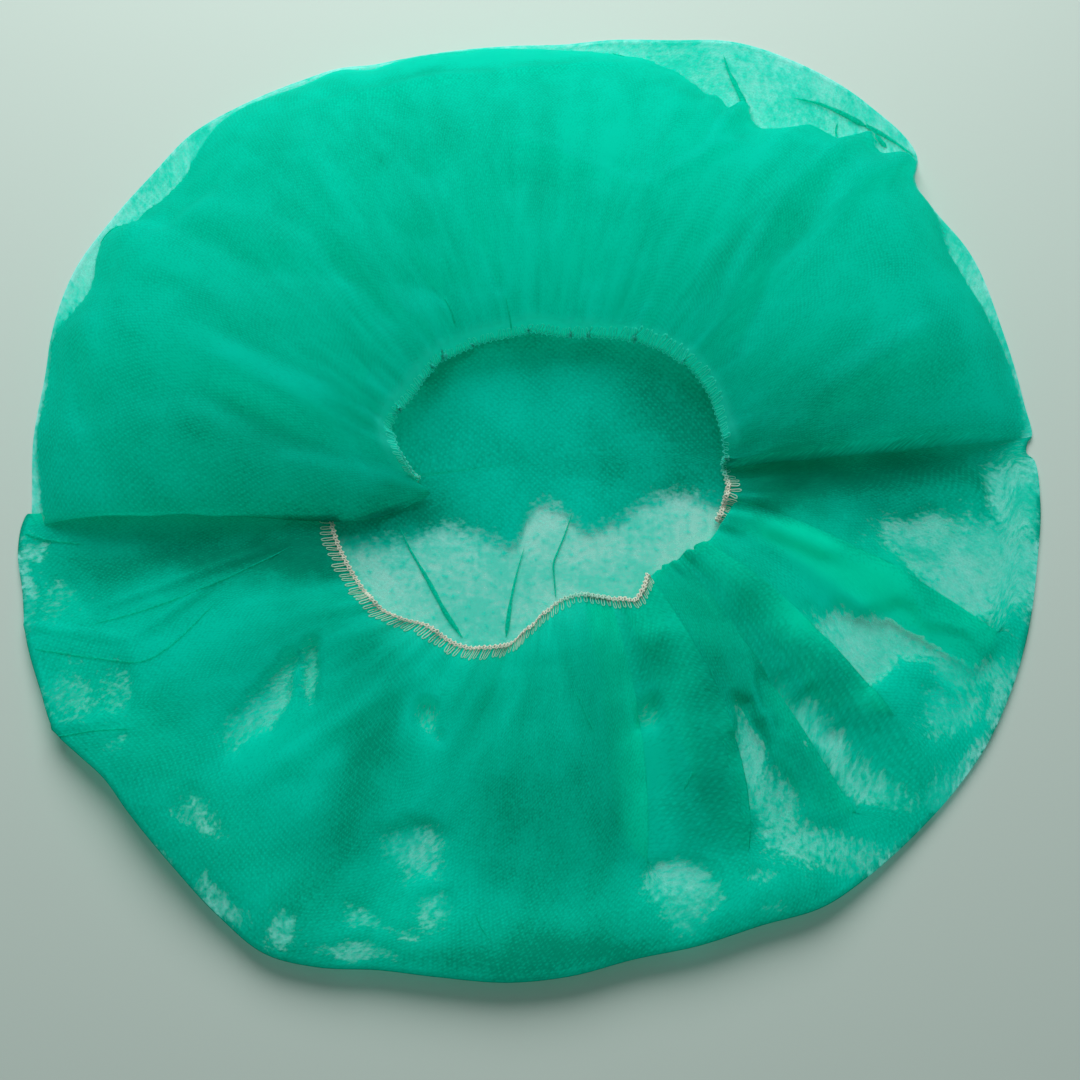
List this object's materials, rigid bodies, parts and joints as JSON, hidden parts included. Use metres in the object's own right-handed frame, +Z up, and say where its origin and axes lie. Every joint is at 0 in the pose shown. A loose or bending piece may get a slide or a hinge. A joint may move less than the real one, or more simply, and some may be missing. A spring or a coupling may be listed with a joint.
{
  "type": "disposable hair cover cap",
  "caption": "Round disposable hair cover of thin nonwoven cloth, gathered on an elastic hem, lying open side up",
  "frame": {"origin": "under the middle of the cap, on the surface that it lies on", "axes": "+Z up out of the opening, +Y towards the full pillow side, +X to the right along the crease"},
  "size_m": [0.3312, 0.3228, 0.0462],
  "materials": {
    "cloth": "thin translucent spunbond nonwoven with small bond dots, matt with a faint sheen",
    "elastic": "cream elastic overlocked with white thread"
  },
  "bodies": {
    "root": {"crown": "cloth", "elastic_hem": "elastic"}
  },
  "joints": []
}
